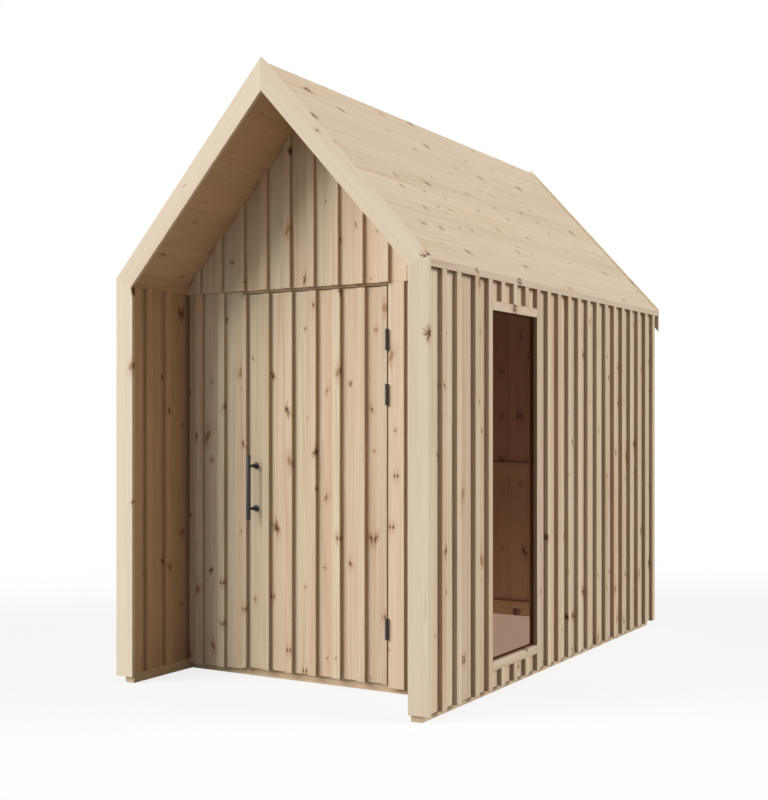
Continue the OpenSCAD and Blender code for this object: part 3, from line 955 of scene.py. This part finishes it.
class SHED_OT_side_frames(bpy.types.Operator):
    """Builds the two side walls' frames with the lining that shows inside"""

    bl_idname = "shed.side_frames"
    bl_label = "Side wall frames"

    def execute(self, context):
        sizes = context.scene.shed_sizes
        depth, width = sizes.stud_depth, sizes.stud_width
        under = under_slope(1, CEILING_UNDER)
        room_studs = np.arange(FRONT_FRAME_BACK + sizes.stud_pitch, REAR_FRAME_IN - width, sizes.stud_pitch)
        all_studs = np.concatenate([PORCH_STUDS, room_studs])
        # Each length of wall: node, side, start, stop and the window's jamb in it
        spans = (
            ("left_wall", -1, FACING_BACK, REAR_CLAD_IN, None),
            ("right_wall_front", 1, FACING_BACK, FRAMED_FRONT, FRAMED_FRONT - width),
            ("right_wall_rear", 1, FRAMED_REAR, REAR_CLAD_IN, FRAMED_REAR),
        )
        for node, side, start, stop, jamb in spans:
            parts = []
            axes = flipped(UPRIGHT_ON_SIDE, through=side)
            seed = (110 if start == FRAMED_REAR else 100) + side
            studs = all_studs[(all_studs > start) & (all_studs + width < stop)]
            if jamb is not None:
                start, stop = (jamb + width, stop) if jamb == start else (start, jamb)
                studs = studs[np.abs(studs - jamb) > 2 * width]
                parts.append(boards(axes, jamb, jamb + width, FRAME_IN, FRAME_OUT, SILL_TOP, under, seed + 5))
            left, right = between(stepped(start, stop, LINING_BOARD), sizes.joint)
            parts.append(boards(axes, left, right, FRAME_IN + depth, FRAME_OUT, SILL_TOP, under, seed))
            if len(studs):
                ends = studs + sizes.batten_width
                parts.append(boards(axes, studs, ends, FRAME_IN, FRAME_IN + depth, SILL_TOP, under, seed + 1))
            parts += self.plates(sizes, side, start, stop, studs, seed + 7)
            put_timber("framing_" + node, parts, node, "frame_wood")
        left, right = between(stepped(FRAMED_FRONT, FRAMED_REAR, LINING_BOARD), sizes.joint)
        # Over and under the window: a level piece at the opening, and lining beyond it
        for word, level, bottom, top, seed in (
            ("below", FRAMED_LOW - width, SILL_TOP, FRAMED_LOW - width, 131),
            ("above", FRAMED_HIGH, FRAMED_HIGH + width, under, 133),
        ):
            across = level, level + width, FRAME_IN, FRAME_OUT, FRAMED_FRONT, FRAMED_REAR
            parts = [
                boards(LENGTHWISE_ON_SIDE, *across, seed),
                boards(UPRIGHT_ON_SIDE, left, right, FRAME_IN + depth, FRAME_OUT, bottom, top, seed + 1),
            ]
            put_timber(f"framing_{word}_window", parts, f"right_wall_{word}_window", "frame_wood")
        return {"FINISHED"}

    def plates(self, sizes, side, start, stop, studs, seed):
        """Pieces that run lengthwise between the studs: the top plate under the ceiling, and in the
        room the rail and the bottom plate."""
        axes = flipped(LENGTHWISE_ON_SIDE, through=side)
        face = FRAME_IN + sizes.stud_depth
        ends = np.sort(np.concatenate([[start], studs, studs + sizes.batten_width, [stop]])).reshape(-1, 2)
        ends = ends[ends[:, 1] - ends[:, 0] > SHORTEST_PLATE]
        top = CEILING - TOP_PLATE_DROP
        run = ends[:, 0] + HAIR, ends[:, 1] - HAIR
        made = [boards(axes, top - sizes.top_plate, top, FRAME_IN, face, *run, seed)]
        room = ends[ends[:, 1] > FRONT_FRAME_BACK + ROOM_MARGIN]
        room = np.maximum(room, FRONT_FRAME_BACK)
        run = room[:, 0] + HAIR, room[:, 1] - HAIR
        if len(room):
            made += [boards(axes, low, high, FRAME_IN, face, *run, seed + 1) for low, high in rails(sizes)]
        return made


def rails(sizes):
    """Lowest and highest edges of the bottom plate and of the rail inside the room."""
    return (SILL_TOP, SILL_TOP + BOTTOM_PLATE), (sizes.rail_height, sizes.rail_height + sizes.rail_width)


class SHED_OT_end_frames(bpy.types.Operator):
    """Builds the frames of the rear wall, the front wall beside the door and the gable over it"""

    bl_idname = "shed.end_frames"
    bl_label = "End wall frames"

    def execute(self, context):
        sizes = context.scene.shed_sizes
        depth, width = sizes.stud_depth, sizes.stud_width
        axes = UPRIGHT_ON_FRONT
        under = under_slope(0, CEILING_UNDER)

        joints = np.arange(-5, 6) * REAR_LINING_BOARD + REAR_LINING_JOINT
        joints = joints[np.abs(joints) < FRAME_IN - NARROWEST]
        edges = np.concatenate([[-FRAME_IN], joints, [FRAME_IN]])
        studs = np.array([-FRAME_IN, -FRAME_IN / 2 - width / 2, FRAME_IN / 2 + width / 2, FRAME_IN - width])
        face = REAR_FRAME_IN + depth
        left, right = between(edges, sizes.joint)
        rear = [
            boards(axes, left, right, face, REAR_CLAD_IN, SILL_TOP, under, 151, crown=0.0),
            boards(axes, studs, studs + width, REAR_FRAME_IN, face, SILL_TOP, under, 152, crown=0.0),
        ]
        run = studs[:-1] + width + HAIR, studs[1:] - HAIR
        for low, high in rails(sizes):
            rear.append(boards(CROSSWISE_ON_FRONT, low, high, REAR_FRAME_IN, face, *run, 153))
        put_timber("framing_rear_wall", rear, "rear_wall", "frame_wood")

        face = FRONT_FRAME_BACK - depth
        top = CEILING - FLUSH
        start, stop = DOORWAY + width, FRAME_IN - width
        whole = FRONT_FRAME_FACE, FRONT_FRAME_BACK
        posts = np.array([DOORWAY, stop])
        left, right = between(stepped(start, stop, LINING_BOARD), sizes.joint)
        low, high = np.array([SILL_TOP, top - width]), np.array([SILL_TOP + BOTTOM_PLATE, top])
        for side, word in SIDES:
            upright, level = flipped(axes, across=side), flipped(CROSSWISE_ON_FRONT, along=side)
            parts = [
                boards(upright, posts, posts + width, *whole, SILL_TOP, top, 161 + side),
                boards(upright, left, right, FRONT_FRAME_FACE, face, SILL_TOP, top, 164 + side),
                boards(level, low, high, face, FRONT_FRAME_BACK, start + HAIR, stop - HAIR, 167 + side),
            ]
            put_timber("framing_front_wall_" + word, parts, "front_wall_" + word, "frame_wood")
        header = filled("door_header", CROSSWISE_ON_FRONT, 171)
        put_timber("framing_door_header", [header], "door_header", "frame_wood")

        span = FRAME_IN - GABLE_FRAME_INSET
        base = CEILING + FLUSH
        struts = np.array([-GABLE_STRUT_SPREAD, -width / 2, GABLE_STRUT_SPREAD - width])
        left, right = between(stepped(-span, span, LINING_BOARD), sizes.joint)
        gable = [
            boards(axes, left, right, GABLE_BACK + FLUSH, face, base, under, 173, crown=0.0),
            boards(axes, struts, struts + width, face, FRONT_FRAME_BACK, base, under, 174, crown=0.0),
        ]
        put_timber("framing_front_gable", gable, "front_gable", "frame_wood")
        return {"FINISHED"}


class SHED_OT_side_cladding(bpy.types.Operator):
    """Lays boards and battens on both side walls, round the window on the right"""

    bl_idname = "shed.side_cladding"
    bl_label = "Side cladding"

    def execute(self, context):
        sizes = context.scene.shed_sizes
        wide, step = sizes.batten_width, sizes.batten_pitch
        under = under_slope(1, DECK_UNDER)
        front, rear = WINDOW_LOW.y, WINDOW_HIGH.y
        head, sill = WINDOW_HIGH.z + sizes.window_strip, WINDOW_LOW.z - sizes.window_strip
        last, front_jamb = REAR_CLAD_OUT - wide, front - wide
        first = FRONT + sizes.first_batten
        # Battens are set out from the rear corner, and on the right from the facing and the window too
        left_wall = np.sort(np.arange(last, FRONT + LEFT_BATTENS_FROM, -step))
        before = np.array([first, first + step, front_jamb - step, front_jamb])
        behind = np.concatenate([[rear], np.sort(np.arange(last, rear + wide + NARROWEST, -step))])
        short = front_jamb + step * np.arange(1, 4)
        self.clad(sizes, "left_cladding", -1, FACING_BACK, REAR_CLAD_OUT, left_wall, FOOT, under, 201)
        self.clad(sizes, "right_cladding_front", 1, FACING_BACK, front, before, FOOT, under, 211)
        self.clad(sizes, "right_cladding_rear", 1, rear, REAR_CLAD_OUT, behind, FOOT, under, 221)
        self.clad(
            sizes, "right_cladding_above_window", 1, front, rear, short, WINDOW_HIGH.z, under, 231,
            strip=(WINDOW_HIGH.z, head), batten_cuts=(head, under),
        )
        self.clad(
            sizes, "right_cladding_below_window", 1, front, rear, short, FOOT, WINDOW_LOW.z, 241,
            strip=(sill, WINDOW_LOW.z), batten_cuts=(FOOT, sill),
        )
        return {"FINISHED"}

    def clad(self, sizes, node, side, start, stop, battens, bottom, top, seed, strip=None, batten_cuts=None):
        """Boards that meet under the battens' middles, the battens over them, and a level strip."""
        arris = sizes.arris
        upright, level = flipped(UPRIGHT_ON_SIDE, through=side), flipped(LENGTHWISE_ON_SIDE, through=side)
        ends = battens + sizes.batten_width
        middles = battens + sizes.batten_width / 2
        middles = middles[(middles > start + NARROWEST) & (middles < stop - NARROWEST)]
        left, right = between(np.concatenate([[start], middles, [stop]]), sizes.joint)
        face = CLAD_OUT - sizes.batten_depth
        low, high = batten_cuts or (bottom, top)
        parts = [
            boards(upright, left, right, FRAME_OUT + HAIR, face, bottom, top, seed, arris=arris),
            boards(upright, battens, ends, face, CLAD_OUT, low, high, seed + 1, arris=arris),
        ]
        if strip:
            parts.append(boards(level, *strip, face, CLAD_OUT, start + HAIR, stop - HAIR, seed + 2, arris=arris))
        put_timber("boards_" + node, parts, node, "cladding_wood", "Y")


class SHED_OT_end_cladding(bpy.types.Operator):
    """Lays boards and battens on the rear wall, the gable and the front wall beside the door"""

    bl_idname = "shed.end_cladding"
    bl_label = "End cladding"

    def execute(self, context):
        sizes = context.scene.shed_sizes
        half, step, proud = sizes.batten_width / 2, sizes.batten_pitch, sizes.batten_depth
        arris = sizes.arris
        centres = step * np.arange(-5, 6)
        axes = UPRIGHT_ON_FRONT

        corners = np.array([-FRAME_OUT + half, *centres, FRAME_OUT - half])
        left, right = between([-FRAME_OUT, *centres, FRAME_OUT], sizes.joint)
        face = REAR_CLAD_OUT - proud
        cuts = FOOT, under_slope(0, DECK_UNDER)
        rear = [
            boards(axes, left, right, REAR_CLAD_IN + HAIR, face, *cuts, 301, arris=arris, crown=0.0),
            boards(axes, corners - half, corners + half, face, REAR_CLAD_OUT, *cuts, 302, arris=arris, crown=0.0),
        ]
        put_timber("boards_rear_cladding", rear, "rear_cladding", "cladding_wood", "X")

        left, right = between([-FRAME_IN, *centres, FRAME_IN], sizes.joint)
        face = GABLE_FACE + proud
        cuts = GABLE_FOOT, under_slope(0, CEILING_UNDER)
        gable = [
            boards(axes, left, right, face, GABLE_BACK, *cuts, 311, arris=arris, crown=0.0),
            boards(axes, centres - half, centres + half, GABLE_FACE, face, *cuts, 312, arris=arris, crown=0.0),
        ]
        put_timber("boards_gable_cladding", gable, "gable_cladding", "cladding_wood", "X")

        face = FRONT_CLAD_FACE + proud
        cuts = FOOT, GABLE_FOOT - SEAT
        beside = step * np.array([4, 5])
        jamb = FRONT_CLAD_INNER + sizes.jamb_board
        for side, word in SIDES:
            upright = flipped(axes, across=side)
            start = FRONT_CLAD_INNER if side < 0 else jamb
            left, right = between([start, *beside, FRAME_IN], sizes.joint)
            low, high = beside - half, beside + half
            parts = [
                boards(upright, left, right, face, FRONT_FRAME_FACE, *cuts, 321 + side, arris=arris),
                boards(upright, low, high, FRONT_CLAD_FACE, face, *cuts, 325 + side, arris=arris),
            ]
            if side > 0:
                flat_board = FRONT_CLAD_INNER, jamb - sizes.joint, FRONT_CLAD_FACE, FRONT_FRAME_FACE
                parts.append(boards(upright, *flat_board, *cuts, 328, arris=arris))
            put_timber("boards_front_cladding_" + word, parts, "front_cladding_" + word, "cladding_wood", "X")

        # The head strip is wide over the walls and narrower over the door
        low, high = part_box("head_strip")
        over = GABLE_FOOT, high.z, low.y, high.y, low.x, high.x
        door = low.z, GABLE_FOOT, low.y, high.y, -FRONT_CLAD_INNER, FRONT_CLAD_INNER
        strip = [boards(CROSSWISE_ON_FRONT, *run, seed, arris=arris) for run, seed in ((over, 331), (door, 332))]
        put_timber("head_strip_boards", strip, "head_strip", "cladding_wood", "X")
        return {"FINISHED"}


class SHED_OT_roof(bpy.types.Operator):
    """Lays the roof boards on the rafters and the ceiling boards under them"""

    bl_idname = "shed.roof"
    bl_label = "Roof"

    def execute(self, context):
        sizes = context.scene.shed_sizes
        bevel = {"lean": math.tan(PITCH), "flat": 0.8}
        ridge = HALF_WIDTH / COSINE
        ceiling_top = -CEILING_UNDER + sizes.ceiling_depth
        rafters_at = np.linspace(FACING_BACK, REAR_CLAD_IN - sizes.stud_width, RAFTERS)
        rafter_foot = lambda u, v: (HALF_WIDTH - FRAME_OUT + v * SINE) / COSINE
        rafter_head = lambda u, v: (HALF_WIDTH + v * SINE) / COSINE
        for side, word in SIDES:
            axes, origin = slope_axes(side, False)
            edges = stepped((HALF_WIDTH - DECK_HIGH.x) / COSINE, ridge, sizes.roof_board)
            left, right = between(edges, ROOF_JOINT)
            roof = boards(
                axes, left, right, -DECK_UNDER, -DECK_TOP, FACING_BACK, BARGE_FRONT, 401 + side, origin,
                arris=0.0004, end_arris=0.001, **bevel,
            )
            put_timber("planks_roof_" + word, [roof], "roof_boards_" + word, "roof_wood")
            edges = stepped((HALF_WIDTH - FRAME_OUT) / COSINE, ridge, sizes.roof_board)
            left, right = between(edges, CEILING_JOINT)
            under = boards(
                axes, left, right, -CEILING_UNDER, ceiling_top, FACING_BACK, REAR_CLAD_IN, 411 + side, origin,
                arris=0.0007, **bevel,
            )
            steep, origin = slope_axes(side, True)
            rafters = boards(
                steep[[1, 0, 2]], rafters_at, rafters_at + sizes.stud_width, ceiling_top, -DECK_UNDER - RAFTER_DROP,
                rafter_foot, rafter_head, 421 + side, origin,
            )
            put_timber("ceiling_" + word, [under, rafters], "roof_frame_" + word, "frame_wood")
        return {"FINISHED"}


class SHED_OT_window(bpy.types.Operator):
    """Finishes the fixed window's glass and glazing frame"""

    bl_idname = "shed.window"
    bl_label = "Window"

    def execute(self, context):
        for node, material, slot in (
            ("window_glass", tinted_glass(), "glass"),
            ("window_glazing_frame", glazing_wood(), "glazing_frame"),
        ):
            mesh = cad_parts[node].data
            mesh.materials.clear()
            mesh.materials.append(material)
        return {"FINISHED"}


class SHED_OT_door(bpy.types.Operator):
    """Builds the boarded door leaf with its battens and ledges"""

    bl_idname = "shed.door"
    bl_label = "Door"

    def execute(self, context):
        sizes = context.scene.shed_sizes
        half, step, arris = sizes.batten_width / 2, sizes.batten_pitch, sizes.arris
        edge, bottom, top = DOOR_HIGH.x, DOOR_LOW.z, DOOR_HIGH.z
        left, right = between([-edge, *(step * np.arange(-2, 3)), edge], sizes.joint)
        centres = step * np.arange(-3, 4)
        low, high = np.maximum(centres - half, -edge), np.minimum(centres + half, edge)
        batten_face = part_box("door_battens")[0].y
        back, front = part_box("door_ledges")
        middles = np.array([back.z + LEDGE_WIDTH / 2, (bottom + top) / 2, front.z - LEDGE_WIDTH / 2])
        ledge_low, ledge_high = middles - LEDGE_WIDTH / 2, middles + LEDGE_WIDTH / 2
        leaf = {
            "boards": boards(
                UPRIGHT_ON_FRONT, left, right, DOOR_LOW.y, DOOR_HIGH.y, bottom, top, 501, arris=arris
            ),
            "battens": boards(
                UPRIGHT_ON_FRONT, low, high, batten_face, DOOR_LOW.y, bottom, top, 502, arris=arris
            ),
            "ledges": boards(
                CROSSWISE_ON_FRONT, ledge_low, ledge_high, back.y, front.y, back.x, front.x, 503,
                arris=0.002, end_arris=0.004,
            ),
        }
        for word, part in leaf.items():
            put_timber("door_leaf_" + word, [part], "door_" + word, "door_wood", "X", "door")
        return {"FINISHED"}


BAR_RADIUS = 0.010
POST_RADIUS = 0.0075
POST_GAP = 0.208
ROSE_RADIUS = 0.0165
ROSE_DEPTH = 0.005


class SHED_OT_handle(bpy.types.Operator):
    """Turns the pull handle's bar, posts and roses"""

    bl_idname = "shed.handle"
    bl_label = "Handle"

    def execute(self, context):
        low, high = (np.array(corner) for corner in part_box("door_handle"))
        middle = (low + high) / 2
        bar = np.array([middle[0], low[1] + BAR_RADIUS, 0.0])
        parts = [turned(bar, Z, rod(BAR_RADIUS, low[2], high[2], 0.002))]
        for height in (middle[2] - POST_GAP / 2, middle[2] + POST_GAP / 2):
            foot = np.array([middle[0], high[1], height])
            parts.append(turned(foot, -Y, rod(POST_RADIUS, 0.0, high[1] - bar[1], 0.0008)))
            parts.append(turned(foot, -Y, rod(ROSE_RADIUS, 0.0, ROSE_DEPTH, 0.0012)))
        put_piece("pull_handle", parts, coated_metal(), "door", "door_handle", smooth=True)
        return {"FINISHED"}


HINGE_LENGTH = 0.098
HINGE_PAIR_GAP = 0.253  # between the middles of the two upper hinges
KNUCKLE_RADIUS = 0.008
KNUCKLE_GAP = 0.001
PIN_RADIUS = 0.003
PIN_CLEARANCE = 0.00005
PLATE_THICKNESS = 0.002
PLATE_START, PLATE_REACH = 0.004, 0.040  # from the pin's middle, into the joint
HINGE_SOFTEN = 0.0006


class SHED_OT_hinges(bpy.types.Operator):
    """Turns the hinge knuckles and pins and cuts their plates"""

    bl_idname = "shed.hinges"
    bl_label = "Hinges"

    def execute(self, context):
        low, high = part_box("hinge_leaves_frame")
        pin = np.array([low.x + KNUCKLE_RADIUS, low.y + KNUCKLE_RADIUS, 0.0])
        half = HINGE_LENGTH / 2
        knuckle = HINGE_LENGTH / 3
        outer = knuckle - KNUCKLE_GAP
        mids = np.array([low.z + half, high.z - half - HINGE_PAIR_GAP, high.z - half])

        def barrel(bore, start, end):
            return turned(pin, Z, tube(KNUCKLE_RADIUS, bore, start, end, HINGE_SOFTEN))

        door_parts, frame_parts = [], []
        for z in mids:
            door_parts.append(barrel(PIN_RADIUS + PIN_CLEARANCE, z - knuckle / 2, z + knuckle / 2))
            frame_parts.append(turned(pin, Z, rod(PIN_RADIUS, z - half, z + half, HINGE_SOFTEN)))
            for foot in (z - half, z + half - outer):
                frame_parts.append(barrel(PIN_RADIUS, foot, foot + outer))
        across_joint = pin[1] + PLATE_START, pin[1] + PLATE_REACH
        leaf_edge, jamb_edge = DOOR_HIGH.x, FRONT_CLAD_INNER
        feet = np.concatenate([mids - half, mids + half - outer])
        door_plates = boards(
            UPRIGHT_ON_FRONT, leaf_edge, leaf_edge + PLATE_THICKNESS, *across_joint,
            mids - knuckle / 2, mids + knuckle / 2, 601, arris=0.0003,
        )
        frame_plates = boards(
            UPRIGHT_ON_FRONT, jamb_edge - PLATE_THICKNESS, jamb_edge, *across_joint,
            feet, feet + outer, 602, arris=0.0003,
        )
        # The metal needs no wood coordinates, so only the plates' points and faces are kept
        for name, parts, plates, body in (
            ("door", door_parts, door_plates, "door"), ("frame", frame_parts, frame_plates, "shed"),
        ):
            parts.append(plates[:2])
            put_piece(
                "hinge_knuckles_" + name, parts, coated_metal(), body,
                "hinge_leaves_" + name, smooth=True,
            )
        return {"FINISHED"}


OPERATORS = (
    SHED_OT_stage,
    SHED_OT_sills,
    SHED_OT_facing,
    SHED_OT_side_frames,
    SHED_OT_end_frames,
    SHED_OT_side_cladding,
    SHED_OT_end_cladding,
    SHED_OT_roof,
    SHED_OT_window,
    SHED_OT_door,
    SHED_OT_handle,
    SHED_OT_hinges,
)
SETTINGS = {"shed_sizes": ShedSizes, "shed_finishes": ShedFinishes, "shed_stage": ShedStage}


class SHED_PT_builder(bpy.types.Panel):
    """Lists the shed's settings and its building steps"""

    bl_idname = "SHED_PT_builder"
    bl_label = "Garden Shed"
    bl_space_type = "VIEW_3D"
    bl_region_type = "UI"
    bl_category = "Shed"

    def draw(self, context):
        for name in SETTINGS:
            group = getattr(context.scene, name)
            box = self.layout.box()
            for field in group.bl_rna.properties:
                if field.identifier not in ("rna_type", "name"):
                    box.prop(group, field.identifier)
        for operator in OPERATORS:
            self.layout.operator(operator.bl_idname)


def register():
    for part in (*SETTINGS.values(), *OPERATORS, SHED_PT_builder):
        bpy.utils.register_class(part)
    for name, group in SETTINGS.items():
        setattr(bpy.types.Scene, name, bpy.props.PointerProperty(type=group))


def unregister():
    for name in SETTINGS:
        delattr(bpy.types.Scene, name)
    for part in (SHED_PT_builder, *reversed(OPERATORS), *SETTINGS.values()):
        bpy.utils.unregister_class(part)


def main():
    register()
    for operator in OPERATORS:
        group, step = operator.bl_idname.split(".")
        getattr(getattr(bpy.ops, group), step)()


if __name__ == "__main__":
    main()
